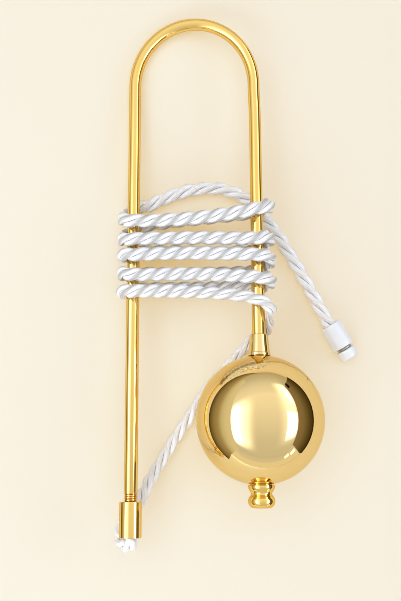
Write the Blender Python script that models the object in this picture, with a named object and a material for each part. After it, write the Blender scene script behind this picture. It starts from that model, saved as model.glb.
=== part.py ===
"""Curtain tieback: a brass hairpin bar with a ball weight on one leg and a twisted white cord.

The bar lies flat on a surface.  The ball lifts its right leg, and the turns of cord lift its
left leg, so that the bar's own frame is tilted a little.  In that frame +Y runs along the
legs towards the arch, +X runs across them and +Z stands on the bar's plane.
"""

import math
from collections import namedtuple

import bmesh
import bpy
from mathutils import Euler, Matrix, Vector

MM = 0.001
GAP = 0.3 * MM                     # clearance left between pieces that touch

# The bar
ROD_RADIUS = 3.0 * MM
LEG_SPACING = 58.0 * MM            # between the centre lines of the two legs
LEFT_LEG_LENGTH = 207.3 * MM       # from the start of the arch to the end of the rod
RIGHT_LEG_LENGTH = 140.0 * MM      # its last stretch is inside the ball
ARCH_STEPS = 24
ROD_SIDES = 16
THREAD_LENGTH = 10.4 * MM          # mostly inside the sleeve
THREAD_PITCH = 1.0 * MM
THREAD_CREST = 2.9 * MM
THREAD_ROOT = 2.4 * MM

# How the bar lies
BAR_PITCH = math.radians(-5.2)     # the legs rise away from the arch
BAR_ROLL = math.radians(-10.2)     # the right leg is higher than the left
BAR_PLACE = Vector((-8.9, 91.8, 8.8)) * MM

# Sleeve at the end of the left leg
FERRULE_RADIUS = 4.95 * MM
FERRULE_TOP = 200.3 * MM           # distances along the leg from the start of the arch
FERRULE_END = 215.9 * MM
FERRULE_ROD_DEPTH = 8.2 * MM
CORD_BORE_RADIUS = 3.75 * MM
CORD_MOUTH_RADIUS = 4.5 * MM       # the bore flares to this at the sleeve's end
CORD_MOUTH_DEPTH = 2.0 * MM
EDGE_CHAMFER = 0.3 * MM

# Ball, its collar and its finial, on the right leg
BALL_RADIUS = 28.9 * MM
BALL_CENTRE = 164.6 * MM
BALL_SEAT_RADIUS = 5.7 * MM        # flats where the collar and the finial meet the ball
BALL_SIDES = 44
BALL_STEPS = 20
COLLAR_TOP = 126.0 * MM
COLLAR_TOP_RADIUS = 4.15 * MM
COLLAR_WAIST_RADIUS = 4.95 * MM
COLLAR_LIP_RADIUS = 5.25 * MM
COLLAR_LIP_LENGTH = 1.5 * MM
STUD_RADIUS = 2.0 * MM
STUD_LENGTH = 5.0 * MM
FINIAL_BEAD_RADIUS = 6.0 * MM
FINIAL_WAIST_RADIUS = 4.7 * MM
FINIAL_LENGTH = 10.2 * MM
TURNED_SIDES = 24

# Cord
CORD_RADIUS = 3.2 * MM
CORD_GROOVE = 2.15 * MM            # radius at the bottom of the groove between two strands
CORD_LAY = 21.2 * MM               # length in which a strand goes once round
STRANDS = 3
CORD_SIDES = 12
STEPS_PER_LAY = 8
WRAP_LEFT = 5.5 * MM               # its centre line beside the left leg's centre line
WRAP_RIGHT = 6.2 * MM              # the turns are a little looser round the right leg
WRAP_ABOVE = 6.4 * MM              # its centre line above or below a leg's centre line
ROD_CLEARANCE = 3.4 * MM           # the cord's soft side comes no nearer to a leg's centre line
LEAST_SQUEEZE = 0.55               # share of its section that a squeezed side keeps

# The tail is drawn tight between the turns and the sleeve: thinner, with a longer lay.
TIGHT_START = 190.0 * MM           # distances back from the cord's end in the sleeve
TIGHT_END = 45.0 * MM
TIGHT_EASE = 20.0 * MM             # length over which it grows tight or loose
TIGHT_SECTION = 0.86
TIGHT_LAY = 1.15

# Cap on the cord's loose end
CAP_RADIUS = 5.3 * MM
CAP_LENGTH = 12.4 * MM
CAP_BORE_DEPTH = 9.9 * MM
CAP_MOUTH = Vector((57.0, -27.2, 5.25)) * MM
CAP_TURN = math.radians(-58.9)     # direction of the cap's axis on the surface
CAP_PIN_RADIUS = 2.0 * MM
NECK_RADIUS = 3.65 * MM
NECK_LENGTH = 0.9 * MM
BUTTON_RADIUS = 4.5 * MM
BUTTON_LENGTH = 5.0 * MM

# The turns of cord round both legs: the places along the legs, in mm from the start of the
# arch, at which each turn passes beside, over and behind them.
Turn = namedtuple("Turn", "left_side front_left front_middle front_right right_side back_right back_left")
TURNS = [
    Turn(69.5, 72.6, 71.8, 67.6, 64.6, 65.4, 72.6),
    Turn(79.4, 81.4, 81.3, 81.8, 80.7, 84.4, 84.6),
    Turn(87.6, 88.8, 88.6, 89.7, 90.8, 94.4, 95.0),
    Turn(96.4, 98.3, 98.5, 100.3, 101.1, 102.2, 102.8),
]
LAST_TURN = Turn(105.1, 106.1, 106.9, 110.5, None, None, None)
FIRST_BACK_LEFT = 63.3

# The loose end, from inside its cap to the left leg, on the surface (mm).
LOOSE_END = [
    (59.6, -31.5, 5.25),
    (57.0, -27.2, 5.2),
    (54.6, -23.0, 4.3),
    (47.8, -9.5, 3.05),
    (39.0, 6.0, 3.05),
    (32.9, 16.1, 3.05),
    (27.4, 23.4, 3.05),
    (22.2, 30.4, 3.05),
    (14.5, 36.2, 3.05),
    (3.5, 39.6, 3.05),
    (-11.3, 38.2, 3.05),
    (-23.5, 33.8, 3.05),
    (-30.6, 30.6, 3.05),
]

# The tail, from the right leg down to the surface and across to the ferrule (mm).
TAIL = [
    (22.1, -21.4, 30.0),
    (22.8, -25.5, 25.2),
    (23.2, -29.2, 20.5),
    (21.9, -31.9, 16.5),
    (18.5, -33.3, 13.0),
    (14.4, -38.6, 9.6),
    (9.9, -43.5, 6.5),
    (5.5, -48.6, 4.0),
    (2.4, -51.8, 2.65),
    (-0.7, -55.3, 2.65),
    (-4.8, -60.7, 2.65),
    (-10.5, -69.1, 2.65),
    (-15.2, -75.7, 2.65),
    (-19.8, -82.7, 2.75),
    (-23.6, -88.6, 3.4),
    (-28.1, -95.4, 5.0),
    (-32.4, -102.0, 8.0),
    (-34.8, -106.4, 10.3),
]

# The hairpin of cord under the ferrule and up into it, in the bar's frame: across from the
# ferrule's centre line, along the leg and above the bar's plane (mm).
FERRULE_LOOP = [
    (-1.0, -205.2, -11.0),
    (-4.3, -209.4, -10.7),
    (-5.1, -213.0, -10.0),
    (-5.0, -216.2, -8.9),
    (-3.9, -218.4, -6.7),
    (-1.7, -219.3, -4.1),
    (0.3, -218.3, -1.5),
    (0.7, -216.7, -0.3),
    (0.2, -214.4, 0.0),
    (0.0, -210.8, 0.0),
]


def clear_scene():
    for thing in list(bpy.data.objects):
        bpy.data.objects.remove(thing, do_unlink=True)


def make_material(name, colour, metallic, roughness):
    material = bpy.data.materials.new(name)
    material.use_nodes = True
    shader = material.node_tree.nodes["Principled BSDF"]
    shader.inputs["Base Color"].default_value = (*colour, 1.0)
    shader.inputs["Metallic"].default_value = metallic
    shader.inputs["Roughness"].default_value = roughness
    return material


def add_object(name, shape, material, parent=None):
    """Make an object from a bmesh, shaded smooth up to its sharp edges."""
    mesh = bpy.data.meshes.new(name)
    bmesh.ops.recalc_face_normals(shape, faces=shape.faces)
    shape.to_mesh(mesh)
    shape.free()
    mesh.materials.append(material)
    mesh.shade_smooth()
    mesh.set_sharp_from_angle(angle=math.radians(40))
    thing = bpy.data.objects.new(name, mesh)
    bpy.context.collection.objects.link(thing)
    thing.parent = parent
    return thing


def loft(rings):
    """Skin a row of rings with equal numbers of points, and close both ends."""
    shape = bmesh.new()
    rows = [[shape.verts.new(point) for point in ring] for ring in rings]
    for low, high in zip(rows, rows[1:]):
        for k in range(len(low)):
            j = (k + 1) % len(low)
            shape.faces.new((low[k], low[j], high[j], high[k]))
    shape.faces.new(rows[0])
    shape.faces.new(rows[-1])
    return shape


def turn(profile, sides, closed):
    """Spin a profile of (radius, distance) points about the Y axis."""
    shape = bmesh.new()
    points = [shape.verts.new((radius, along, 0.0)) for radius, along in profile]
    edges = [shape.edges.new(pair) for pair in zip(points, points[1:])]
    if closed:
        edges.append(shape.edges.new((points[-1], points[0])))
    bmesh.ops.spin(shape, geom=points + edges, cent=(0, 0, 0), axis=(0, 1, 0),
                   angle=2 * math.pi, steps=sides, use_merge=True)
    bmesh.ops.remove_doubles(shape, verts=shape.verts, dist=1e-6)
    return shape


def arc(centre, radius, start, end, steps):
    """Points of (radius from the axis, distance along it) on an arc, ends included."""
    points = []
    for k in range(steps + 1):
        angle = start + (end - start) * k / steps
        points.append((radius * math.sin(angle), centre + radius * math.cos(angle)))
    return points


def bar_matrix():
    return Matrix.Translation(BAR_PLACE) @ Euler((BAR_PITCH, BAR_ROLL, 0.0)).to_matrix().to_4x4()


def make_bar(material, frame):
    """The rod: left leg with its threaded end, arch, right leg."""
    half = LEG_SPACING / 2
    stations = []                   # centre, direction, radius
    down = Vector((0, -1, 0))
    turns = int(THREAD_LENGTH / THREAD_PITCH)
    for k in range(2 * turns + 1):
        radius = THREAD_ROOT if k % 2 == 0 else THREAD_CREST
        place = -LEFT_LEG_LENGTH + k * THREAD_PITCH / 2
        stations.append((Vector((-half, place, 0)), -down, radius))
    shoulder = stations[-1][0] + Vector((0, THREAD_PITCH / 2, 0))
    stations.append((shoulder, -down, ROD_RADIUS))
    for k in range(ARCH_STEPS + 1):
        angle = math.pi * (1 - k / ARCH_STEPS)
        out = Vector((math.cos(angle), math.sin(angle), 0))
        stations.append((half * out, Vector((out.y, -out.x, 0)), ROD_RADIUS))
    stations.append((Vector((half, -RIGHT_LEG_LENGTH, 0)), down, ROD_RADIUS))
    rings = []
    for centre, direction, radius in stations:
        side = direction.cross(Vector((0, 0, 1)))
        ring = []
        for j in range(ROD_SIDES):
            angle = 2 * math.pi * (j + 0.5) / ROD_SIDES
            ring.append(centre + radius * (math.cos(angle) * side + math.sin(angle) * Vector((0, 0, 1))))
        rings.append(ring)
    return add_object("u_bar", loft(rings), material, frame)


def make_ferrule(material, frame):
    """The sleeve that screws on the left leg; its lower bore takes the cord."""
    rod_bore = ROD_RADIUS + GAP
    step = FERRULE_TOP + FERRULE_ROD_DEPTH
    rim = FERRULE_RADIUS - EDGE_CHAMFER
    profile = [
        (rod_bore, -FERRULE_TOP), (rim, -FERRULE_TOP),
        (FERRULE_RADIUS, -FERRULE_TOP - EDGE_CHAMFER), (FERRULE_RADIUS, -FERRULE_END + EDGE_CHAMFER),
        (rim, -FERRULE_END), (CORD_MOUTH_RADIUS, -FERRULE_END),
        (CORD_BORE_RADIUS, -FERRULE_END + CORD_MOUTH_DEPTH),
        (CORD_BORE_RADIUS, -step), (rod_bore, -step),
    ]
    thing = add_object("end_ferrule", turn(profile, TURNED_SIDES, closed=True), material, frame)
    thing.location.x = -LEG_SPACING / 2
    return thing


def seat_distance():
    """Distance of the ball's flats from its centre."""
    return math.sqrt(BALL_RADIUS ** 2 - BALL_SEAT_RADIUS ** 2)


def make_ball(material, frame):
    """The ball, bored for the rod above and for the finial's stud below."""
    rod_bore = ROD_RADIUS + GAP
    stud_bore = STUD_RADIUS + GAP
    top = -BALL_CENTRE + seat_distance()
    bottom = -BALL_CENTRE - seat_distance()
    edge = math.asin(BALL_SEAT_RADIUS / BALL_RADIUS)
    profile = [(0.0, -RIGHT_LEG_LENGTH - GAP), (rod_bore, -RIGHT_LEG_LENGTH - GAP), (rod_bore, top)]
    profile += arc(-BALL_CENTRE, BALL_RADIUS, edge, math.pi - edge, BALL_STEPS)
    profile += [(stud_bore, bottom), (stud_bore, bottom + STUD_LENGTH), (0.0, bottom + STUD_LENGTH)]
    thing = add_object("ball", turn(profile, BALL_SIDES, closed=False), material, frame)
    thing.location.x = LEG_SPACING / 2
    return thing


def rest_on_surface(thing):
    """Cut off what lies below the surface, which leaves a small flat spot."""
    size = 0.1
    shape = bmesh.new()
    bmesh.ops.create_cube(shape, size=size)
    cutter = add_object(thing.name + "_cutter", shape, thing.data.materials[0])
    bpy.context.view_layer.update()
    cutter.location = (*thing.matrix_world.translation.xy, -size / 2)
    cutter.location.y += (thing.matrix_world.to_3x3() @ Vector((0, -BALL_CENTRE, 0))).y
    cutter.hide_render = True
    cutter.display_type = "WIRE"
    flat = thing.modifiers.new("flat_spot", "BOOLEAN")
    flat.operation = "DIFFERENCE"
    flat.object = cutter


def make_collar(material, frame):
    """The tapered sleeve above the ball, with a lip against the ball."""
    bore = ROD_RADIUS + GAP
    foot = -BALL_CENTRE + seat_distance() + GAP
    lip = foot + COLLAR_LIP_LENGTH
    profile = [
        (bore, -COLLAR_TOP), (COLLAR_TOP_RADIUS - EDGE_CHAMFER, -COLLAR_TOP),
        (COLLAR_TOP_RADIUS, -COLLAR_TOP - EDGE_CHAMFER), (COLLAR_WAIST_RADIUS, lip),
        (COLLAR_LIP_RADIUS, lip - EDGE_CHAMFER), (COLLAR_LIP_RADIUS, foot + EDGE_CHAMFER),
        (COLLAR_LIP_RADIUS - EDGE_CHAMFER, foot), (bore, foot),
    ]
    thing = add_object("ball_collar", turn(profile, TURNED_SIDES, closed=True), material, frame)
    thing.location.x = LEG_SPACING / 2
    return thing


def make_finial(material, frame):
    """The turned end piece: two beads with a waist between, on a stud."""
    top = -BALL_CENTRE - seat_distance() - GAP
    bead = FINIAL_BEAD_RADIUS
    waist = FINIAL_WAIST_RADIUS
    profile = [
        (0.0, top + STUD_LENGTH - GAP), (STUD_RADIUS, top + STUD_LENGTH - GAP), (STUD_RADIUS, top),
        (0.95 * bead, top), (0.99 * bead, top - 0.08 * FINIAL_LENGTH),
        (0.96 * bead, top - 0.18 * FINIAL_LENGTH), (waist + 0.2 * (bead - waist), top - 0.28 * FINIAL_LENGTH),
        (waist, top - 0.35 * FINIAL_LENGTH), (waist + 0.35 * (bead - waist), top - 0.45 * FINIAL_LENGTH),
        (waist + 0.85 * (bead - waist), top - 0.56 * FINIAL_LENGTH), (bead, top - 0.67 * FINIAL_LENGTH),
        (0.96 * bead, top - 0.80 * FINIAL_LENGTH), (0.82 * bead, top - 0.91 * FINIAL_LENGTH),
        (0.58 * bead, top - 0.98 * FINIAL_LENGTH), (0.0, top - FINIAL_LENGTH),
    ]
    thing = add_object("finial", turn(profile, TURNED_SIDES, closed=False), material, frame)
    thing.location.x = LEG_SPACING / 2
    return thing


def smooth_curve(points, pieces=12):
    """Dense points on a centripetal Catmull-Rom curve through the given ones."""
    ends = [2 * points[0] - points[1]] + points + [2 * points[-1] - points[-2]]
    dense = []
    for a, b, c, d in zip(ends, ends[1:], ends[2:], ends[3:]):
        t1 = math.sqrt((b - a).length)
        t2 = t1 + math.sqrt((c - b).length)
        t3 = t2 + math.sqrt((d - c).length)
        for k in range(pieces):
            t = t1 + (t2 - t1) * k / pieces
            ab = a.lerp(b, t / t1)
            bc = b.lerp(c, (t - t1) / (t2 - t1))
            cd = c.lerp(d, (t - t2) / (t3 - t2))
            abc = ab.lerp(bc, t / t2)
            bcd = bc.lerp(cd, (t - t1) / (t3 - t1))
            dense.append(abc.lerp(bcd, (t - t1) / (t2 - t1)))
    dense.append(points[-1])
    return dense


def even_stations(dense, step):
    """Points at even distances along a dense line, as near to the step as comes out even."""
    lengths = [0.0]
    for a, b in zip(dense, dense[1:]):
        lengths.append(lengths[-1] + (b - a).length)
    count = round(lengths[-1] / step)
    stations = []
    k = 0
    for i in range(count + 1):
        want = lengths[-1] * i / count
        while k < len(dense) - 2 and lengths[k + 1] < want:
            k += 1
        share = (want - lengths[k]) / (lengths[k + 1] - lengths[k])
        stations.append(dense[k].lerp(dense[k + 1], share))
    return stations


def wrap(leg, start, beside, end, from_front):
    """Points of half a turn round one leg, from its front to its back or the other way."""
    reach = WRAP_LEFT if leg < 0 else WRAP_RIGHT
    points = []
    for degrees in (60, 30, 0, -30, -60):
        lift = math.radians(degrees if from_front else -degrees)
        share = (90 - degrees) / 180
        bow = 4 * share * (1 - share) * (beside - (start + end) / 2)
        along = start + (end - start) * share + bow
        across = leg * (LEG_SPACING / 2 + reach * math.cos(lift))
        points.append(Vector((across, -along * MM, WRAP_ABOVE * math.sin(lift))))
    return points


def cord_turns():
    """The cord's centre line round the legs, in the bar's frame."""
    half = LEG_SPACING / 2
    points = []
    start = FIRST_BACK_LEFT
    for turn_places in TURNS + [LAST_TURN]:
        points.append(Vector((-half, -start * MM, -WRAP_ABOVE)))
        points += wrap(-1, start, turn_places.left_side, turn_places.front_left, from_front=False)
        points.append(Vector((-half, -turn_places.front_left * MM, WRAP_ABOVE)))
        points.append(Vector((0.0, -turn_places.front_middle * MM, WRAP_ABOVE)))
        if turn_places is LAST_TURN:
            points.append(Vector((0.97 * half, -turn_places.front_right * MM, WRAP_ABOVE)))
            break
        points.append(Vector((half, -turn_places.front_right * MM, WRAP_ABOVE)))
        points += wrap(1, turn_places.front_right, turn_places.right_side, turn_places.back_right,
                       from_front=True)
        points.append(Vector((half, -turn_places.back_right * MM, -WRAP_ABOVE)))
        start = turn_places.back_left
    return points


def cord_route():
    """The cord's centre line from the cap to the ferrule, in world coordinates."""
    frame = bar_matrix()
    route = [Vector(point) * MM for point in LOOSE_END]
    route += [frame @ point for point in cord_turns()]
    route += [Vector(point) * MM for point in TAIL]
    for across, along, above in FERRULE_LOOP:
        route.append(frame @ (Vector((across, along, above)) * MM - Vector((LEG_SPACING / 2, 0, 0))))
    return route


def squeeze(centre, offset, frame, back):
    """Flatten the cord's section where it bears on a leg, and on the surface it lies on."""
    place = back @ centre
    half = LEG_SPACING / 2
    side = -1 if place.x < 0 else 1
    if -COLLAR_TOP < place.y < 0:
        away = Vector((place.x - side * half, 0.0, place.z))
        share = (away.length - ROD_CLEARANCE) / CORD_RADIUS
        if share < 1.0:
            outward = (frame.to_3x3() @ away).normalized()
            offset = offset + (max(share, LEAST_SQUEEZE) - 1.0) * offset.dot(outward) * outward
    point = centre + offset
    point.z = max(point.z, 0.0)
    return point


def section_radius(angle):
    """Outer radius of the twisted cord at an angle from the crest of a strand."""
    share = (1 + math.cos(STRANDS * angle)) / 2
    return CORD_GROOVE + (CORD_RADIUS - CORD_GROOVE) * share ** 0.6


def tightness(to_end):
    """How tight the cord is drawn, from 0 to 1, at a distance from its end in the sleeve."""
    from_start = (TIGHT_START - to_end) / TIGHT_EASE + 0.5
    from_end = (to_end - TIGHT_END) / TIGHT_EASE + 0.5
    return min(max(min(from_start, from_end), 0.0), 1.0)


def make_cord(material):
    """One solid of three strands, laid left-handed along the whole route."""
    frame = bar_matrix()
    back = frame.inverted()
    step = CORD_LAY / STEPS_PER_LAY
    stations = even_stations(smooth_curve(cord_route()), step)
    normal = Vector((0, 0, 1))
    twist = 0.0
    rings = []
    for i, centre in enumerate(stations):
        before = stations[max(i - 1, 0)]
        after = stations[min(i + 1, len(stations) - 1)]
        direction = (after - before).normalized()
        normal = (normal - normal.dot(direction) * direction).normalized()
        binormal = direction.cross(normal)
        tight = tightness((len(stations) - 1 - i) * step)
        section = 1.0 + tight * (TIGHT_SECTION - 1.0)
        ring = []
        for j in range(CORD_SIDES):
            angle = 2 * math.pi * j / CORD_SIDES
            radius = section * section_radius(angle)
            offset = radius * (math.cos(angle + twist) * normal + math.sin(angle + twist) * binormal)
            ring.append(squeeze(centre, offset, frame, back))
        rings.append(ring)
        twist -= 2 * math.pi / STEPS_PER_LAY / (1.0 + tight * (TIGHT_LAY - 1.0))
    return add_object("tie_cord", loft(rings), material)


def cap_frame():
    """An empty at the cap's mouth, whose -Y runs along the cap's axis to its far end."""
    empty = bpy.data.objects.new("cap_frame", None)
    bpy.context.collection.objects.link(empty)
    empty.location = CAP_MOUTH
    empty.rotation_euler = Euler((0.0, 0.0, CAP_TURN + math.pi / 2))
    return empty


def make_cap(white, grey):
    """Plastic sleeve on the cord's end, a short metal neck and a plastic button."""
    frame = cap_frame()
    level = math.pi / TURNED_SIDES          # turns a flat side down
    cord_bore = CORD_BORE_RADIUS
    pin_bore = CAP_PIN_RADIUS + GAP
    rim = CAP_RADIUS - EDGE_CHAMFER
    sleeve = [
        (cord_bore, 0.0), (rim, 0.0), (CAP_RADIUS, -EDGE_CHAMFER), (CAP_RADIUS, -CAP_LENGTH + EDGE_CHAMFER),
        (rim, -CAP_LENGTH), (pin_bore, -CAP_LENGTH), (pin_bore, -CAP_BORE_DEPTH),
        (cord_bore, -CAP_BORE_DEPTH),
    ]
    neck_start = -CAP_LENGTH - GAP
    button_start = neck_start - NECK_LENGTH - GAP
    pin_end = button_start - 0.6 * BUTTON_LENGTH
    neck = [
        (0.0, -CAP_BORE_DEPTH - GAP), (CAP_PIN_RADIUS, -CAP_BORE_DEPTH - GAP), (CAP_PIN_RADIUS, neck_start),
        (NECK_RADIUS, neck_start), (NECK_RADIUS, neck_start - NECK_LENGTH),
        (CAP_PIN_RADIUS, neck_start - NECK_LENGTH), (CAP_PIN_RADIUS, pin_end), (0.0, pin_end),
    ]
    round_start = button_start - 0.7 * BUTTON_LENGTH
    button = [
        (0.0, pin_end - GAP), (pin_bore, pin_end - GAP), (pin_bore, button_start),
        (BUTTON_RADIUS - EDGE_CHAMFER, button_start), (BUTTON_RADIUS, button_start - EDGE_CHAMFER),
        (BUTTON_RADIUS, round_start), (0.93 * BUTTON_RADIUS, round_start - 0.18 * BUTTON_LENGTH),
        (0.78 * BUTTON_RADIUS, button_start - BUTTON_LENGTH), (0.0, button_start - BUTTON_LENGTH),
    ]
    for name, profile, closed, material in (
        ("cord_cap", sleeve, True, white),
        ("cap_neck", neck, False, grey),
        ("cap_button", button, False, white),
    ):
        thing = add_object(name, turn(profile, TURNED_SIDES, closed), material, frame)
        thing.rotation_euler.y = level


def build():
    clear_scene()
    brass = make_material("polished_brass", (0.84, 0.60, 0.22), 1.0, 0.08)
    cotton = make_material("white_cord", (0.86, 0.86, 0.88), 0.0, 0.55)
    plastic = make_material("white_plastic", (0.84, 0.84, 0.86), 0.0, 0.35)
    steel = make_material("grey_metal", (0.45, 0.45, 0.46), 1.0, 0.35)
    frame = bpy.data.objects.new("bar_frame", None)
    bpy.context.collection.objects.link(frame)
    frame.location = BAR_PLACE
    frame.rotation_euler = Euler((BAR_PITCH, BAR_ROLL, 0.0))
    make_bar(brass, frame)
    make_ferrule(brass, frame)
    make_collar(brass, frame)
    ball = make_ball(brass, frame)
    make_finial(brass, frame)
    make_cord(cotton)
    make_cap(plastic, steel)
    rest_on_surface(ball)


build()
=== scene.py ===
import math
from collections import namedtuple

import bpy
import numpy as np
from mathutils import Euler, Matrix, Vector


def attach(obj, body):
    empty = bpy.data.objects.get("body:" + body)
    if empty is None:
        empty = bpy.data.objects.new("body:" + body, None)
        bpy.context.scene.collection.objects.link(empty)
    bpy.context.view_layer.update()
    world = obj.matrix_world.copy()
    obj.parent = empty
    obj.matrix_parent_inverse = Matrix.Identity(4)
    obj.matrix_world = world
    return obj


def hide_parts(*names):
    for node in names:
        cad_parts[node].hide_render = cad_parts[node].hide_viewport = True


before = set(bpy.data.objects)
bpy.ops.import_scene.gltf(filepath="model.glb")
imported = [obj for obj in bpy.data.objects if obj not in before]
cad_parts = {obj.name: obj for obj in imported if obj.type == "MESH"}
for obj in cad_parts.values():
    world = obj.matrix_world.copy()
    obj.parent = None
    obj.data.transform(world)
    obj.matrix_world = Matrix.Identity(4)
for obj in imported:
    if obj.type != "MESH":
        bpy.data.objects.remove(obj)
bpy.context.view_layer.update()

# A brass curtain tieback with a ball weight, wound with a white twisted cord. In the bar's own
# frame +Y runs along the legs towards the arch, +X across them and +Z up from the bar's plane.
MM = 0.001
GAP = 0.3 * MM                     # between pieces that touch
AXIS_RADIUS = 0.02 * MM            # a turned outline that reaches its axis stops this near it

# The bar: its lengths are those of the solids, and its bend is drawn closer
ROD_RADIUS = 3.0 * MM
BENT_ROD_RADIUS = 2.84 * MM        # drawn a little thinner by the bend
LEG_SPACING = 58.0 * MM
HALF = LEG_SPACING / 2
LEFT_LEG_LENGTH = 207.3 * MM
RIGHT_LEG_LENGTH = 140.0 * MM
THREAD_LENGTH = 10.7 * MM
THREAD_PITCH = 1.0 * MM
THREAD_CREST = 2.95 * MM
THREAD_ROOT = 2.45 * MM
THREAD_CHAMFER = 0.1 * MM          # on the rod, where the thread ends
THREAD_STEPS = 12                  # to a pitch
THINNING_START = 110.0 * MM        # the rod begins to grow thinner this far down its legs
THINNING_LENGTH = 60.0 * MM
ARCH_DROP = 3.0 * MM               # the arch starts this far below the bar's origin
ARCH_RISE = 32.75 * MM
ARCH_STEPS = 128
LEAN = 0.35 * MM                   # the right leg bends in by this much just below the arch
LEAN_LENGTH = 17.0 * MM
LEAN_STEP = 2.0 * MM
LEAN_STEPS = 11
# places of the rings of points along the straight legs, in mm
LEFT_RINGS = (-130.0, -110.0, -90.0, -70.0, -50.0, -25.0)
RIGHT_RINGS = (-50.0, -70.0, -90.0, -110.0)
ROD_SIDES = 64
BAR_PITCH = math.radians(-5.2)     # the legs rise away from the arch
BAR_ROLL = math.radians(-10.2)     # the right leg is higher than the left
BAR_PLACE = Vector((-8.9, 91.8, 8.8)) * MM
BAR = Matrix.Translation(BAR_PLACE) @ Euler((BAR_PITCH, BAR_ROLL, 0.0)).to_matrix().to_4x4()
LEFT_LEG = BAR @ Matrix.Translation((-HALF, 0.0, 0.0))
RIGHT_LEG = BAR @ Matrix.Translation((HALF, 0.0, 0.0))

# Fittings, with their places as distances down the legs
FERRULE_RADIUS = 4.95 * MM
FERRULE_TOP = 200.3 * MM
FERRULE_END = 215.9 * MM
FERRULE_ROD_DEPTH = 8.2 * MM
CORD_BORE_RADIUS = 3.75 * MM
CORD_MOUTH_RADIUS = 4.5 * MM
CORD_MOUTH_DEPTH = 2.0 * MM
BALL_RADIUS = 28.9 * MM
BALL_CENTRE = 164.6 * MM
BALL_SEAT_RADIUS = 5.7 * MM
SEAT_DISTANCE = math.sqrt(BALL_RADIUS ** 2 - BALL_SEAT_RADIUS ** 2)
COLLAR_TOP = 126.0 * MM
COLLAR_TOP_RADIUS = 4.15 * MM
COLLAR_WAIST_RADIUS = 4.95 * MM
COLLAR_LIP_RADIUS = 5.25 * MM
COLLAR_LIP_LENGTH = 1.5 * MM
STUD_RADIUS = 2.0 * MM
STUD_LENGTH = 5.0 * MM
FINIAL_BEAD_RADIUS = 6.0 * MM
FINIAL_WAIST_RADIUS = 4.7 * MM
FINIAL_LENGTH = 10.2 * MM
ROUND_SIDES = 128
BALL_SIDES = 220
BALL_STEPS = 140
CAP_SIDES = 96

# Brass: two tints that it wanders between, and its tint at a glancing angle
PALE_BRASS = ((0.86, 0.655, 0.31), (0.85, 0.635, 0.285), (0.92, 0.82, 0.6))
DEEP_BRASS = ((0.90, 0.64, 0.22), (0.88, 0.60, 0.18), (0.85, 0.60, 0.25))
CREVICE_SHADE = (0.36, 0.17, 0.03)       # painted shade in the joints and the roots of the thread
CREVICE_SHADE_REACH = 0.9 * MM

# Plastic and steel: two tints each
PLASTIC = ((0.82, 0.85, 0.92), (0.85, 0.88, 0.95))
STEEL = ((0.36, 0.35, 0.34), (0.45, 0.44, 0.42))

# Cord
CORD_RADIUS = 3.2 * MM
CORD_LAY = 21.5 * MM               # of the middle turns; the cord is twisted less at its loose end
LAY_CHANGE = 0.32                  # and more towards the tail, by this much in all
STRANDS = 3
STRAND_OFFSET = 1.75 * MM          # from the cord's centre to a strand's centre
STRAND_DEEP = 1.56 * MM            # a strand's half height and half width in the cord's section
STRAND_WIDE = 1.62 * MM
STRAND_SIDES = 16
CORD_SIDES = STRANDS * STRAND_SIDES
STEPS_PER_LAY = 40
WRAP_LEFT = 5.5 * MM               # its centre line beside the left leg's centre line
WRAP_RIGHT = 6.2 * MM
WRAP_ABOVE = 6.4 * MM              # its centre line above or below a leg's centre line
WRAP_DEGREES = (60, 30, 0, -30, -60)    # where half a turn round a leg has its points
LAST_REACH = 0.97                  # the last turn ends just before the right leg's centre line
ROD_CLEARANCE = 3.4 * MM           # the cord comes no nearer to a leg's centre line
LEAST_SQUEEZE = 0.55               # share of its section that a squeezed side keeps
TIGHT_START = 190.0 * MM           # the tail is drawn tight between these distances from its end
TIGHT_END = 45.0 * MM
TIGHT_EASE = 20.0 * MM
TIGHT_SECTION = 0.86
TIGHT_LAY = 1.22
CORD_LIGHT = (0.94, 0.95, 0.99)
CORD_DARK = (0.82, 0.83, 0.87)
SEAM_SHADE = (0.16, 0.145, 0.13)    # painted shade between two strands
CREST_SHADE = (0.51, 0.51, 0.50)    # painted shade: multiplies the colour in the middle of a strand
LOOSE_CREST_SHADE = 0.15                 # share of that painted shade on the loose end and the tail
YARNS = 6.0                        # to a strand
YARN_SLANT = -18.0                 # strands round the cord for each metre along it
TURNS_START = (0.12, 0.16)         # distances along the cord, in metres, over which its turns
TURNS_END = (0.83, 0.87)           # begin and end

# Cap on the cord's loose end
CAP_RADIUS = 5.3 * MM
CAP_LENGTH = 12.4 * MM
CAP_BORE_DEPTH = 9.9 * MM
CAP_PIN_RADIUS = 2.0 * MM
NECK_RADIUS = 3.65 * MM
NECK_LENGTH = 0.9 * MM
BUTTON_RADIUS = 4.5 * MM
BUTTON_LENGTH = 5.0 * MM
PIN_DEPTH = 0.6                    # share of the button's length that the neck's pin fills
CAP_MOUTH = Vector((57.0, -27.2, 5.25)) * MM
CAP_TURN = math.radians(-58.9)     # direction of the cap's axis on the surface
CAP = Matrix.Translation(CAP_MOUTH) @ Matrix.Rotation(CAP_TURN + math.pi / 2, 4, "Z")

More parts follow.
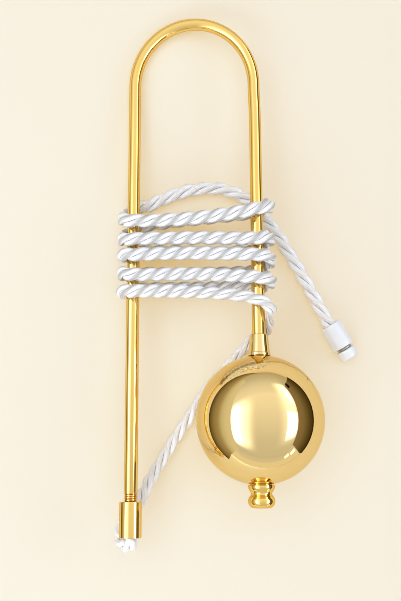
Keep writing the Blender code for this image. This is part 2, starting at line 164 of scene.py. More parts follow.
# The cord's route, in mm, as in the source of the solids: the places along the legs at which
# each turn passes, then the loose end, the tail and the hairpin under the sleeve.
Turn = namedtuple("Turn", "left_side front_left front_middle front_right right_side back_right back_left")
TURNS = [
    Turn(69.5, 72.6, 71.8, 67.6, 64.6, 65.4, 72.6),
    Turn(79.4, 81.4, 81.3, 81.8, 80.7, 84.4, 84.6),
    Turn(87.6, 88.8, 88.6, 89.7, 90.8, 94.4, 95.0),
    Turn(96.4, 98.3, 98.5, 100.3, 101.1, 102.2, 102.8),
]
LAST_TURN = Turn(105.1, 106.1, 106.9, 110.5, None, None, None)
FIRST_BACK_LEFT = 63.3
LOOSE_END = [
    (59.6, -31.5, 5.25), (57.0, -27.2, 5.2), (54.6, -23.0, 4.3), (47.8, -9.5, 3.05),
    (39.0, 6.0, 3.05), (32.9, 16.1, 3.05), (27.4, 23.4, 3.05), (22.2, 30.4, 3.05),
    (14.5, 36.2, 3.05), (3.5, 39.6, 3.05), (-11.3, 38.2, 3.05), (-23.5, 33.8, 3.05),
    (-30.6, 30.6, 3.05),
]
TAIL = [
    (22.1, -21.4, 30.0), (22.8, -25.5, 25.2), (23.2, -29.2, 20.5), (21.9, -31.9, 16.5),
    (18.5, -33.3, 13.0), (14.4, -38.6, 9.6), (9.9, -43.5, 6.5), (5.5, -48.6, 4.0),
    (2.4, -51.8, 2.65), (-0.7, -55.3, 2.65), (-4.8, -60.7, 2.65), (-10.5, -69.1, 2.65),
    (-15.2, -75.7, 2.65), (-19.8, -82.7, 2.75), (-23.6, -88.6, 3.4), (-28.1, -95.4, 5.0),
    (-32.4, -102.0, 8.0), (-34.8, -106.4, 10.3),
]
FERRULE_LOOP = [
    (-1.0, -205.2, -11.0), (-4.3, -209.4, -10.7), (-5.1, -213.0, -10.0), (-5.0, -216.2, -8.9),
    (-3.9, -218.4, -6.7), (-1.7, -219.3, -4.1), (0.3, -218.3, -1.5), (0.7, -216.7, -0.3),
    (0.2, -214.4, 0.0), (0.0, -210.8, 0.0),
]

# The camera, fitted to the photograph's 401 x 601 frame
CAMERA_PLACE = Vector((-63.9, -65.6, 428.6)) * MM
CAMERA_RIGHT = Vector((0.991, -0.0084, 0.1336))
CAMERA_UP = Vector((-0.0072, 0.9932, 0.116))
FOCAL_PIXELS = 900.0
FRAME_HEIGHT = 601.0
SENSOR = 36.0
CLIP_NEAR, CLIP_FAR = 0.01, 20.0

# The studio, in metres. The brass mirrors its floor, walls, cards and diffuser. A surface's
# colour is given by stops of (place along one axis, colour).
CREAM = (0.93, 0.89, 0.76)
FLOOR_COLOUR = (0.356, 0.49, 0.583)
FLOOR_GLOW = (0.52, 0.30, 0.06)
WORLD = (0.30, 0.30, 0.30)
PANEL_HEIGHT = 0.93
LEFT, RIGHT, NEAR, FAR = -1.85, 1.45, -2.9, 4.4
LEFT_BEND = -2.2                   # the left wall is pale up to this and deeper beyond
DARK_NEAR, DARK_FAR = -1.3, 2.0    # the right wall is dark between these and pale beyond them
FLOOR_REACH = 5.0
BACKDROP_RADIUS = 4.8
BACKDROP_HEIGHT = 3.0
BACKDROP_SIDES = 64

# Beyond these places the brass mirrors a strip of another tone in place of the floor. The strips'
# corners are given on the floor plan.
TABLE_LEFT = -0.10
TABLE_RIGHT = 0.45
STRIP_LIFT = 0.001                 # above the floor
LEFT_STRIP = [(LEFT, LEFT_BEND), (TABLE_LEFT, -0.22), (TABLE_LEFT, FAR), (LEFT, FAR)]
RIGHT_STRIP = [(TABLE_RIGHT, -0.42), (RIGHT, DARK_NEAR), (RIGHT, DARK_FAR), (TABLE_RIGHT, 0.6)]
PANEL_STOPS = [
    (-2.9, 0.78), (-2.13, 0.70), (-1.64, 0.735), (-1.11, 0.74), (-0.78, 0.76), (-0.55, 0.80),
    (-0.39, 0.84), (-0.07, 0.93), (0.4, 1.05), (0.83, 1.1), (1.05, 1.0), (1.33, 0.96),
    (1.72, 0.90), (2.33, 0.81), (3.43, 0.71), (4.4, 0.66),
]
LEFT_STRIP_STOPS = [
    (-1.85, (0.45, 0.39, 0.24)), (-0.37, (0.38, 0.315, 0.18)), (-0.2, (0.31, 0.24, 0.14)),
    (-0.135, (0.20, 0.158, 0.062)), (-0.10, (0.08, 0.05, 0.015)),
]
LEFT_WALL_STOPS = [
    (0.0, (0.45, 0.39, 0.24)), (0.14, (0.544, 0.494, 0.33)), (0.24, (0.657, 0.616, 0.47)),
    (0.35, (0.69, 0.68, 0.54)), (0.5, (0.77, 0.735, 0.62)), (0.68, (0.80, 0.79, 0.68)),
    (0.93, (0.80, 0.78, 0.66)),
]
RIGHT_STRIP_STOPS = [
    (0.45, (0.02, 0.008, 0.004)), (0.8, (0.05, 0.032, 0.012)), (1.45, (0.075, 0.055, 0.02)),
]
RIGHT_WALL_STOPS = [
    (0.0, (0.075, 0.055, 0.02)), (0.14, (0.103, 0.074, 0.025)), (0.27, (0.144, 0.115, 0.05)),
    (0.42, (0.194, 0.152, 0.073)), (0.55, (0.249, 0.195, 0.11)), (0.79, (0.289, 0.214, 0.14)),
    (0.93, (0.30, 0.22, 0.145)),
]
FAR_WALL_STOPS = [(0.0, (0.57, 0.49, 0.32)), (0.5, (0.62, 0.61, 0.55)), (0.93, (0.66, 0.66, 0.64))]
NEAR_WALL_STOPS = [
    (0.0, (0.93, 0.89, 0.76)), (0.55, (0.92, 0.88, 0.76)), (0.75, (0.78, 0.77, 0.74)),
    (0.93, (0.78, 0.77, 0.76)),
]

# The walls: name, one corner of the floor plan, the next, stops of (height, colour)
WALLS = [
    ("left_wall", (LEFT, LEFT_BEND), (LEFT, FAR), LEFT_WALL_STOPS),
    ("left_near_wall", (LEFT, NEAR), (LEFT, LEFT_BEND), NEAR_WALL_STOPS),
    ("near_wall", (LEFT, NEAR), (RIGHT, NEAR), NEAR_WALL_STOPS),
    ("far_wall", (LEFT, FAR), (RIGHT, FAR), FAR_WALL_STOPS),
    ("right_wall", (RIGHT, DARK_NEAR), (RIGHT, DARK_FAR), RIGHT_WALL_STOPS),
    ("right_far_wall", (RIGHT, DARK_FAR), (RIGHT, FAR), FAR_WALL_STOPS),
    ("right_near_wall", (RIGHT, NEAR), (RIGHT, DARK_NEAR), NEAR_WALL_STOPS),
]

# Small cards in front of the right wall
Card = namedtuple("Card", "name start end low high brightness")
CARDS = [
    Card("small_lamp", -1.80, -1.38, 0.44, 0.64, 3.0),
    Card("long_lamp", -2.50, -1.95, 0.56, 0.78, 2.5),
    Card("dark_clip", 1.55, 2.05, 0.52, 0.74, 0.01),
]
CARD_OFFSET = 0.01

# The diffuser's strength, and its patches of daylight: how bright each is, and for each of its
# soft edges the axis and the two places between which the patch grows from nothing to full
PANEL_STRENGTH = 1.2
DAYLIGHT = (0.90, 0.97, 1.10)
PATCHES = [
    (1.9, ("X", -0.25, -1.0), ("Y", 0.95, 0.2), ("Y", -1.7, -0.8)),
    (5.0, ("X", -0.9, -1.4), ("Y", 0.8, 0.3), ("Y", -1.5, -1.0)),
    (0.5, ("X", 0.3, 0.8), ("Y", 0.9, 0.2), ("Y", -1.3, -0.4)),
    (5.5, ("X", 0.66, 0.76), ("Y", 0.24, 0.16), ("Y", -0.9, -0.4)),
    (2.5, ("X", 0.35, 1.3), ("Y", 2.4, 1.5), ("Y", 0.1, 1.0)),
]
LEFT_FADE, RIGHT_FADE = 0.35, 0.25    # the patches fade out over this width at the panel's sides

# The soft lights that fall on the floor and the cord, cut from a ring at the diffuser's height:
# inner and outer radius, the two directions between which each lies (0 is +X), brightness.
LIGHT_STEPS = 12
SOFT_LIGHTS = [
    ("overhead", 0.0, 0.38, 0, 360, 1.5), ("upper_right", 0.38, 1.03, 30, 90, 1.4),
    ("upper_left", 0.38, 1.03, 90, 150, 1.4), ("left", 0.38, 1.03, 150, 210, 2.6),
    ("lower_left", 0.38, 1.03, 210, 270, 0.4), ("low_right", 1.03, 2.86, -30, 30, 2.2),
    ("far_left", 1.03, 2.86, 90, 150, 0.5), ("low_side", 1.03, 2.86, 150, 210, 0.4),
    ("low_left", 1.03, 2.86, 210, 270, 4.6),
]


# ---------------------------------------------------------------- meshes

def add_mesh(name, points, faces, material, nodes, sharp=40.0):
    """A piece made from points in world coordinates, which rides on the one body."""
    mesh = bpy.data.meshes.new(name)
    mesh.from_pydata([tuple(map(float, p)) for p in points], [], faces)
    mesh.update()
    mesh.materials.append(material)
    mesh.shade_smooth()
    mesh.set_sharp_from_angle(angle=math.radians(sharp))
    piece = bpy.data.objects.new(name, mesh)
    bpy.context.collection.objects.link(piece)
    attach(piece, "root")
    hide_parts(*nodes)
    return piece


def grid_faces(rows, sides, closed_rows=False):
    """Quads between rows of points that each go once round."""
    faces = []
    for i in range(rows if closed_rows else rows - 1):
        low = i * sides
        high = (i + 1) % rows * sides
        for j in range(sides):
            k = (j + 1) % sides
            faces.append((low + j, low + k, high + k, high + j))
    return faces


def end_faces(rows, sides):
    """The faces that close the first and the last of the rows."""
    last = (rows - 1) * sides
    return [tuple(range(sides)), tuple(last + j for j in reversed(range(sides)))]


def carried(points, place):
    """Points moved by the matrix of a place."""
    matrix = np.array(place)
    return points @ matrix[:3, :3].T + matrix[:3, 3]


def rest_on_surface(piece):
    """Flatten what would lie below the surface."""
    for vertex in piece.data.vertices:
        vertex.co.z = max(vertex.co.z, 0.0)


def rounded(corners, steps=5):
    """An outline through (radius, distance, rounding) corners, each with its own rounding."""
    count = len(corners)
    outline = []
    for i, (radius, along, rounding) in enumerate(corners):
        here = Vector((radius, along))
        if rounding == 0.0:
            outline.append(here)
            continue
        before = Vector(corners[(i - 1) % count][:2]) - here
        after = Vector(corners[(i + 1) % count][:2]) - here
        reach = min(rounding, 0.45 * before.length, 0.45 * after.length)
        start = here + reach * before.normalized()
        end = here + reach * after.normalized()
        for k in range(steps + 1):
            t = k / steps
            outline.append((1 - t) ** 2 * start + 2 * t * (1 - t) * here + t * t * end)
    return outline


def turned(name, outline, place, material, nodes, closed, sides=ROUND_SIDES, sharp=40.0):
    """Spin an outline of (radius, distance) about the Y axis of its place."""
    angles = np.linspace(0.0, 2 * math.pi, sides, endpoint=False)
    ring = np.stack([np.cos(angles), np.zeros(sides), np.sin(angles)], axis=1)
    rows = np.array([[radius * ring + (0.0, along, 0.0)] for radius, along in outline])
    points = carried(rows.reshape(-1, 3), place)
    faces = grid_faces(len(outline), sides, closed_rows=closed)
    if not closed:
        faces += end_faces(len(outline), sides)
    return add_mesh(name, points, outward(points, faces), material, nodes, sharp)


def outward(points, faces):
    """Turn all the faces over if together they enclose a negative volume."""
    volume = 0.0
    for face in faces:
        a = Vector(points[face[0]])
        for j in range(1, len(face) - 1):
            volume += a.dot(Vector(points[face[j]]).cross(Vector(points[face[j + 1]])))
    return [face[::-1] for face in faces] if volume < 0 else faces


# ---------------------------------------------------------------- materials

class Nodes:
    """A few short ways to wire a material."""

    def __init__(self, name):
        self.material = bpy.data.materials.new(name)
        self.material.use_nodes = True
        self.tree = self.material.node_tree
        self.shader = self.tree.nodes["Principled BSDF"]
        self.out = self.tree.nodes["Material Output"]

    def make(self, kind, **settings):
        node = self.tree.nodes.new(kind)
        for key, value in settings.items():
            setattr(node, key, value)
        return node

    def link(self, source, target):
        self.tree.links.new(source, target)

    def noise(self, coordinates, scale, detail=2.0):
        node = self.make("ShaderNodeTexNoise")
        node.inputs["Scale"].default_value = scale
        node.inputs["Detail"].default_value = detail
        self.link(coordinates, node.inputs["Vector"])
        return node.outputs["Fac"]

    def range(self, value, low, high, to_low, to_high, smooth=False):
        node = self.make("ShaderNodeMapRange")
        node.interpolation_type = "SMOOTHSTEP" if smooth else "LINEAR"
        self.link(value, node.inputs["Value"])
        limits = {"From Min": low, "From Max": high, "To Min": to_low, "To Max": to_high}
        for key, number in limits.items():
            node.inputs[key].default_value = number
        return node.outputs["Result"]

    def math(self, operation, first, second):
        node = self.make("ShaderNodeMath", operation=operation)
        for socket, value in zip(node.inputs, (first, second)):
            if isinstance(value, (int, float)):
                socket.default_value = value
            else:
                self.link(value, socket)
        return node.outputs["Value"]

    def place(self):
        """The three coordinates of the point being shaded, in the object's own space."""
        parts = self.make("ShaderNodeSeparateXYZ")
        self.link(self.make("ShaderNodeTexCoord").outputs["Object"], parts.inputs["Vector"])
        return parts.outputs

    def graded(self, value, stops, brightest=1.0):
        """A colour that runs through stops of (value, colour), as a share of the brightest."""
        low, high = stops[0][0], stops[-1][0]
        ramp = self.make("ShaderNodeValToRGB")
        elements = ramp.color_ramp.elements
        for at, _ in stops[1:-1]:
            elements.new((at - low) / (high - low))
        for element, (at, colour) in zip(elements, stops):
            element.color = (*(part / brightest for part in colour), 1.0)
        self.link(self.range(value, low, high, 0.0, 1.0), ramp.inputs["Fac"])
        return ramp.outputs["Color"]

    def mottled(self, place, scale, first, second):
        """A colour that wanders between two near ones."""
        mix = self.make("ShaderNodeMix", data_type="RGBA")
        mix.inputs["A"].default_value = (*first, 1.0)
        mix.inputs["B"].default_value = (*second, 1.0)
        self.link(self.noise(place, scale), mix.inputs["Factor"])
        return mix.outputs["Result"]

    def bump(self, height, distance, strength):
        node = self.make("ShaderNodeBump")
        node.inputs["Distance"].default_value = distance
        node.inputs["Strength"].default_value = strength
        self.link(height, node.inputs["Height"])
        return node.outputs["Normal"]


def brass_material(name, light, dark, rim):
    """Polished brass, a little smeared, with painted shade in its crevices; the bar's plating is deeper in
    colour than the ball's.
    """
    nodes = Nodes(name)
    shader = nodes.shader
    shader.inputs["Metallic"].default_value = 1.0
    place = nodes.make("ShaderNodeTexCoord").outputs["Object"]
    smears = nodes.noise(place, 60.0, detail=3.0)
    nodes.link(nodes.range(smears, 0.35, 0.75, 0.025, 0.06), shader.inputs["Roughness"])
    # painted shade: the brass is darkened where nearby surfaces hem it in, in the joints and the roots of
    # the thread
    reach = nodes.make("ShaderNodeAmbientOcclusion", samples=6)
    reach.inputs["Distance"].default_value = CREVICE_SHADE_REACH
    crevice_shaded = nodes.make("ShaderNodeMix", data_type="RGBA")
    crevice_shaded.inputs["A"].default_value = (*CREVICE_SHADE, 1.0)
    nodes.link(nodes.range(reach.outputs["AO"], 0.25, 0.75, 0.0, 1.0), crevice_shaded.inputs["Factor"])
    nodes.link(nodes.mottled(place, 25.0, light, dark), crevice_shaded.inputs["B"])
    nodes.link(crevice_shaded.outputs["Result"], shader.inputs["Base Color"])
    shader.inputs["Specular Tint"].default_value = (*rim, 1.0)
    return nodes.material


def cord_material():
    """Satin filament yarn: fine fibres along each strand, painted shade in the seams between the strands,
    and painted shade in the middle of each strand on the wound turns.
    """
    nodes = Nodes("white_cord")
    shader = nodes.shader
    along = nodes.make("ShaderNodeUVMap", uv_map="fibre")
    parts = nodes.make("ShaderNodeSeparateXYZ")
    nodes.link(along.outputs["UV"], parts.inputs["Vector"])
    # u runs along the cord in metres, v round it with the strands, in strands
    u, v = parts.outputs["X"], parts.outputs["Y"]
    slanted = nodes.math("ADD", v, nodes.math("MULTIPLY", u, YARN_SLANT))
    # a fibre is long and thin: the noise is stretched along the strand
    fibre_place = nodes.make("ShaderNodeCombineXYZ")
    nodes.link(nodes.math("MULTIPLY", u, 90.0), fibre_place.inputs["X"])
    nodes.link(nodes.math("MULTIPLY", slanted, 20.0), fibre_place.inputs["Y"])
    fibres = nodes.noise(fibre_place.outputs["Vector"], 1.0, detail=3.0)
    # each strand holds several yarns, which wander a little
    wander = nodes.math("MULTIPLY", nodes.noise(along.outputs["UV"], 60.0), 0.25)
    yarns = nodes.math("PINGPONG", nodes.math("ADD", nodes.math("MULTIPLY", slanted, YARNS), wander), 0.5)
    height = nodes.math("ADD", nodes.math("MULTIPLY", fibres, 0.5), yarns)
    nodes.link(nodes.bump(height, 0.3 * MM, 0.5), shader.inputs["Normal"])
    ramp = nodes.make("ShaderNodeValToRGB")
    for element, position, colour in zip(ramp.color_ramp.elements, (0.22, 0.42), (CORD_DARK, CORD_LIGHT)):
        element.position = position
        element.color = (*colour, 1.0)
    nodes.link(nodes.math("MULTIPLY", nodes.math("ADD", fibres, yarns), 0.5), ramp.inputs["Fac"])
    # from 0 in a seam to 0.5 in the middle of a strand, which gets painted shade on the wound turns
    from_seam = nodes.math("PINGPONG", v, 0.5)
    begun = nodes.range(u, *TURNS_START, 0.0, 1.0)
    wound = nodes.math("MULTIPLY", begun, nodes.range(u, *TURNS_END, 1.0, 0.0))
    shade_share = nodes.range(wound, 0.0, 1.0, LOOSE_CREST_SHADE, 1.0)
    middle = nodes.range(from_seam, 0.20, 0.46, 0.0, 1.0, smooth=True)
    # painted shade in the middle of each strand, full on the wound turns and slight on the loose end and
    # the tail
    crest_shade = nodes.make("ShaderNodeMix", data_type="RGBA", blend_type="MULTIPLY")
    nodes.link(nodes.math("MULTIPLY", middle, shade_share), crest_shade.inputs["Factor"])
    nodes.link(ramp.outputs["Color"], crest_shade.inputs["A"])
    crest_shade.inputs["B"].default_value = (*CREST_SHADE, 1.0)
    # painted shade in the seams between the strands
    seam_shade = nodes.make("ShaderNodeMix", data_type="RGBA")
    seam_shade.inputs["A"].default_value = (*SEAM_SHADE, 1.0)
    nodes.link(nodes.range(from_seam, 0.0, 0.07, 0.0, 1.0, smooth=True), seam_shade.inputs["Factor"])
    nodes.link(crest_shade.outputs["Result"], seam_shade.inputs["B"])
    nodes.link(seam_shade.outputs["Result"], shader.inputs["Base Color"])
    shader.inputs["Roughness"].default_value = 0.38
    shader.inputs["Specular IOR Level"].default_value = 0.6
    shader.inputs["Anisotropic"].default_value = 0.7
    shader.inputs["Sheen Weight"].default_value = 0.6
    shader.inputs["Sheen Roughness"].default_value = 0.35
    tangent = nodes.make("ShaderNodeTangent", direction_type="UV_MAP", uv_map="fibre")
    nodes.link(tangent.outputs["Tangent"], shader.inputs["Tangent"])
    return nodes.material


def plastic_material():
    """Moulded plastic, with a fine grain."""
    nodes = Nodes("white_plastic")
    shader = nodes.shader
    place = nodes.make("ShaderNodeTexCoord").outputs["Object"]
    polish = nodes.noise(place, 300.0, detail=3.0)
    nodes.link(nodes.range(polish, 0.3, 0.7, 0.30, 0.42), shader.inputs["Roughness"])
    nodes.link(nodes.bump(nodes.noise(place, 900.0), 0.03 * MM, 0.3), shader.inputs["Normal"])
    nodes.link(nodes.mottled(place, 120.0, *PLASTIC), shader.inputs["Base Color"])
    return nodes.material


def steel_material():
    """Satin grey metal."""
    nodes = Nodes("grey_metal")
    shader = nodes.shader
    shader.inputs["Metallic"].default_value = 1.0
    place = nodes.make("ShaderNodeTexCoord").outputs["Object"]
    nodes.link(nodes.range(nodes.noise(place, 500.0), 0.3, 0.7, 0.25, 0.4), shader.inputs["Roughness"])
    nodes.link(nodes.mottled(place, 200.0, *STEEL), shader.inputs["Base Color"])
    return nodes.material


# ---------------------------------------------------------------- brass pieces

def bar_path():
    """The rod's centre line over the arch, which is a little pointed, and down to its right leg."""
    path = [Vector((-HALF, -2 * ARCH_DROP, 0.0))]
    for i in range(ARCH_STEPS + 1):
        angle = math.pi * (1 - i / ARCH_STEPS)
        path.append(Vector((HALF * math.cos(angle), ARCH_RISE * math.sin(angle) - ARCH_DROP, 0.0)))
    for k in range(1, LEAN_STEPS + 1):
        path.append(Vector((HALF, -ARCH_DROP - LEAN_STEP * k, 0.0)))
    for point in path:
        if point.x > 0:
            share = min(max((point.y + ARCH_DROP) / LEAN_LENGTH + 1.0, 0.0), 1.0)
            fade = 1.0 - max(point.y, 0.0) / ARCH_RISE
            point.x -= LEAN * share * share * (3.0 - 2.0 * share) * max(fade, 0.0)
    return path


def make_bar(brass):
    """The rod, with a real thread cut on the end of its left leg."""
    angles = np.linspace(0.0, 2 * math.pi, ROD_SIDES, endpoint=False)
    towards_arch = (0.0, 1.0, 0.0)
    rows = []

    def rod(along):
        """The rod's radius at a place along the legs: it is thinner over the arch."""
        share = min(max((along + THINNING_START) / THINNING_LENGTH, 0.0), 1.0)
        return np.full(ROD_SIDES, ROD_RADIUS + (BENT_ROD_RADIUS - ROD_RADIUS) * share)

    def ring(centre, direction, radii):
        side = Vector(direction).cross(Vector((0, 0, 1)))
        rows.append(np.array(centre) + radii[:, None] * (
            np.cos(angles)[:, None] * np.array(side) + np.sin(angles)[:, None] * np.array((0.0, 0.0, 1.0))))

    # the thread: flat crests, sloping flanks, and a run-out at its upper end
    count = int(THREAD_LENGTH / THREAD_PITCH * THREAD_STEPS)
    middle = (THREAD_CREST + THREAD_ROOT) / 2
    for i in range(count + 1):
        place = -LEFT_LEG_LENGTH + i * THREAD_PITCH / THREAD_STEPS
        phase = (i / THREAD_STEPS + angles / (2 * math.pi)) % 1.0
        flank = 4 * np.abs(phase - 0.5) - 1
        depth = min(1.0, 3.0 * (count - i) / THREAD_STEPS)
        radii = middle + (THREAD_CREST - middle) * np.clip(1.8 * flank + 0.4, -1, 1) * depth
        radii = radii + (1 - depth) * (THREAD_CREST - middle)
        ring((-HALF, place, 0.0), towards_arch, radii)
    shoulder = -LEFT_LEG_LENGTH + THREAD_LENGTH
    ring((-HALF, shoulder + THREAD_CHAMFER, 0.0), towards_arch, rod(shoulder) - 0.8 * THREAD_CHAMFER)
    for along in (shoulder + 2 * THREAD_CHAMFER, *(place * MM for place in LEFT_RINGS)):
        ring((-HALF, along, 0.0), towards_arch, rod(along))
    path = bar_path()
    for i, centre in enumerate(path[1:-1], 1):
        ring(centre, (path[i + 1] - path[i - 1]).normalized(), rod(centre.y))
    for along in (*(place * MM for place in RIGHT_RINGS), -RIGHT_LEG_LENGTH):
        ring((HALF, along, 0.0), (0.0, -1.0, 0.0), rod(along))
    points = carried(np.concatenate(rows), BAR)
    faces = grid_faces(len(rows), ROD_SIDES) + end_faces(len(rows), ROD_SIDES)
    add_mesh("bar_rod", points, outward(points, faces), brass, ["u_bar"])


def make_ferrule(brass):
    """The sleeve on the left leg's thread, with a wider bore below for the cord."""
    bore = ROD_RADIUS + GAP
    step = FERRULE_TOP + FERRULE_ROD_DEPTH
    outline = rounded([
        (bore, -FERRULE_TOP, 0.15 * MM), (FERRULE_RADIUS, -FERRULE_TOP, 0.4 * MM),
        (FERRULE_RADIUS, -FERRULE_END, 0.4 * MM), (CORD_MOUTH_RADIUS, -FERRULE_END, 0.15 * MM),
        (CORD_BORE_RADIUS, -FERRULE_END + CORD_MOUTH_DEPTH, 0.5 * MM),
        (CORD_BORE_RADIUS, -step, 0.0), (bore, -step, 0.0),
    ])
    turned("ferrule_sleeve", outline, LEFT_LEG, brass, ["end_ferrule"], closed=True)


def make_collar(brass):
    """The tapered sleeve on the right leg, with a lip where it meets the ball."""
    bore = ROD_RADIUS + GAP
    foot = -BALL_CENTRE + SEAT_DISTANCE + GAP
    lip = foot + COLLAR_LIP_LENGTH
    outline = rounded([
        (bore, -COLLAR_TOP, 0.15 * MM), (COLLAR_TOP_RADIUS, -COLLAR_TOP, 0.45 * MM),
        (COLLAR_WAIST_RADIUS, lip, 0.25 * MM), (COLLAR_LIP_RADIUS, lip - 0.15 * MM, 0.5 * MM),
        (COLLAR_LIP_RADIUS, foot, 0.5 * MM), (bore, foot, 0.0),
    ])
    turned("collar_sleeve", outline, RIGHT_LEG, brass, ["ball_collar"], closed=True)


def make_ball(brass):
    """The ball, with its small flat spot where it lies on the surface."""
    bore = ROD_RADIUS + GAP
    stud_bore = STUD_RADIUS + GAP
    edge = math.asin(BALL_SEAT_RADIUS / BALL_RADIUS)
    top = -BALL_CENTRE + SEAT_DISTANCE
    bottom = -BALL_CENTRE - SEAT_DISTANCE
    rod_end = -RIGHT_LEG_LENGTH - GAP
    outline = [(AXIS_RADIUS, rod_end), (bore, rod_end), (bore, top)]
    for k in range(BALL_STEPS + 1):
        angle = edge + (math.pi - 2 * edge) * k / BALL_STEPS
        outline.append((BALL_RADIUS * math.sin(angle), -BALL_CENTRE + BALL_RADIUS * math.cos(angle)))
    outline += [(stud_bore, bottom), (stud_bore, bottom + STUD_LENGTH), (AXIS_RADIUS, bottom + STUD_LENGTH)]
    ball = turned("weight_ball", outline, RIGHT_LEG, brass, ["ball"], closed=False,
                  sides=BALL_SIDES, sharp=30.0)
    rest_on_surface(ball)


def make_finial(brass):
    """Two beads with a waist between, drawn as one smooth curve from the joint to the tip."""
    top = -BALL_CENTRE - SEAT_DISTANCE - GAP
    bead = FINIAL_BEAD_RADIUS
    waist = FINIAL_WAIST_RADIUS
    marks = [                      # (radius, share of the finial's length)
        (0.955 * bead, 0.0), (0.99 * bead, 0.06), (0.985 * bead, 0.13), (0.92 * bead, 0.21),
        (0.84 * bead, 0.285), (waist, 0.36), (1.03 * waist, 0.43), (0.91 * bead, 0.52),
        (0.985 * bead, 0.61), (bead, 0.69), (0.975 * bead, 0.79), (0.87 * bead, 0.895),
        (0.70 * bead, 0.965), (0.45 * bead, 0.995), (AXIS_RADIUS, 1.0),
    ]
    curve = smooth_curve([Vector((r, top - share * FINIAL_LENGTH, 0.0)) for r, share in marks], pieces=8)
    stud_end = top + STUD_LENGTH - GAP
    land = top + 0.8 * GAP         # a raised middle nearly closes the gap to the ball
    land_radius = 0.82 * bead
    outline = [(AXIS_RADIUS, stud_end), (STUD_RADIUS, stud_end), (STUD_RADIUS, land),
               (land_radius, land), (land_radius, top), (0.93 * bead, top)]
    outline += [(p.x, p.y) for p in curve]
    turned("turned_finial", outline, RIGHT_LEG, brass, ["finial"], closed=False)


# ---------------------------------------------------------------- cord

def smooth_curve(points, pieces=12):
    """Dense points on a centripetal Catmull-Rom curve through the given ones."""
    ends = [2 * points[0] - points[1]] + points + [2 * points[-1] - points[-2]]
    dense = []
    for a, b, c, d in zip(ends, ends[1:], ends[2:], ends[3:]):
        t1 = math.sqrt((b - a).length)
        t2 = t1 + math.sqrt((c - b).length)
        t3 = t2 + math.sqrt((d - c).length)
        for k in range(pieces):
            t = t1 + (t2 - t1) * k / pieces
            ab = a.lerp(b, t / t1)
            bc = b.lerp(c, (t - t1) / (t2 - t1))
            cd = c.lerp(d, (t - t2) / (t3 - t2))
            abc = ab.lerp(bc, t / t2)
            bcd = bc.lerp(cd, (t - t1) / (t3 - t1))
            dense.append(abc.lerp(bcd, (t - t1) / (t2 - t1)))
    dense.append(points[-1])
    return dense


def even_stations(dense, step):
    """Points at even distances along a dense line."""
    line = np.array(dense)
    lengths = np.concatenate([[0.0], np.cumsum(np.linalg.norm(np.diff(line, axis=0), axis=1))])
    count = round(lengths[-1] / step)
    want = np.linspace(0.0, lengths[-1], count + 1)
    return np.stack([np.interp(want, lengths, line[:, axis]) for axis in range(3)], axis=1)


def wrap(leg, start, beside, end, from_front):
    """Points of half a turn round one leg, from its front to its back or the other way."""
    reach = WRAP_LEFT if leg < 0 else WRAP_RIGHT
    points = []
    for degrees in WRAP_DEGREES:
        lift = math.radians(degrees if from_front else -degrees)
        share = (90 - degrees) / 180
        bow = 4 * share * (1 - share) * (beside - (start + end) / 2)
        along = start + (end - start) * share + bow
        across = leg * (HALF + reach * math.cos(lift))
        points.append(Vector((across, -along * MM, WRAP_ABOVE * math.sin(lift))))
    return points


def cord_turns():
    """The cord's centre line round the legs, in the bar's frame."""
    points = []
    start = FIRST_BACK_LEFT
    for places in TURNS + [LAST_TURN]:
        points.append(Vector((-HALF, -start * MM, -WRAP_ABOVE)))
        points += wrap(-1, start, places.left_side, places.front_left, from_front=False)
        points.append(Vector((-HALF, -places.front_left * MM, WRAP_ABOVE)))
        points.append(Vector((0.0, -places.front_middle * MM, WRAP_ABOVE)))
        if places is LAST_TURN:
            points.append(Vector((LAST_REACH * HALF, -places.front_right * MM, WRAP_ABOVE)))
            break
        points.append(Vector((HALF, -places.front_right * MM, WRAP_ABOVE)))
        points += wrap(1, places.front_right, places.right_side, places.back_right, from_front=True)
        points.append(Vector((HALF, -places.back_right * MM, -WRAP_ABOVE)))
        start = places.back_left
    return points


def cord_route():
    """The cord's centre line from the cap to the ferrule."""
    route = [Vector(point) * MM for point in LOOSE_END]
    route += [BAR @ point for point in cord_turns()]
    route += [Vector(point) * MM for point in TAIL]
    route += [LEFT_LEG @ (Vector(point) * MM) for point in FERRULE_LOOP]
    return route


def squeeze(centres, offsets):
    """Flatten the sections where they bear on a leg, and on the surface."""
    forth = np.array(BAR)[:3, :3]
    places = carried(centres, BAR.inverted())      # in the bar's frame
    sides = np.where(places[:, 0] < 0, -1.0, 1.0)
    away = np.stack([places[:, 0] - sides * HALF, np.zeros(len(places)), places[:, 2]], axis=1)
    reach = np.linalg.norm(away, axis=1)
    share = np.clip((reach - ROD_CLEARANCE) / CORD_RADIUS, LEAST_SQUEEZE, 1.0)
    share[(places[:, 1] > 0) | (places[:, 1] < -COLLAR_TOP)] = 1.0
    outward_way = (away / reach[:, None]) @ forth.T
    along_way = np.einsum("ijk,ik->ij", offsets, outward_way)
    offsets = offsets + ((share - 1.0)[:, None] * along_way)[:, :, None] * outward_way[:, None, :]
    points = centres[:, None, :] + offsets
    points[:, :, 2] = np.maximum(points[:, :, 2], 0.0)
    return points


def tightness(to_end):
    """From 0 to 1, at each distance from the cord's end in the sleeve."""
    from_start = (TIGHT_START - to_end) / TIGHT_EASE + 0.5
    from_end = (to_end - TIGHT_END) / TIGHT_EASE + 0.5
    return np.clip(np.minimum(from_start, from_end), 0.0, 1.0)


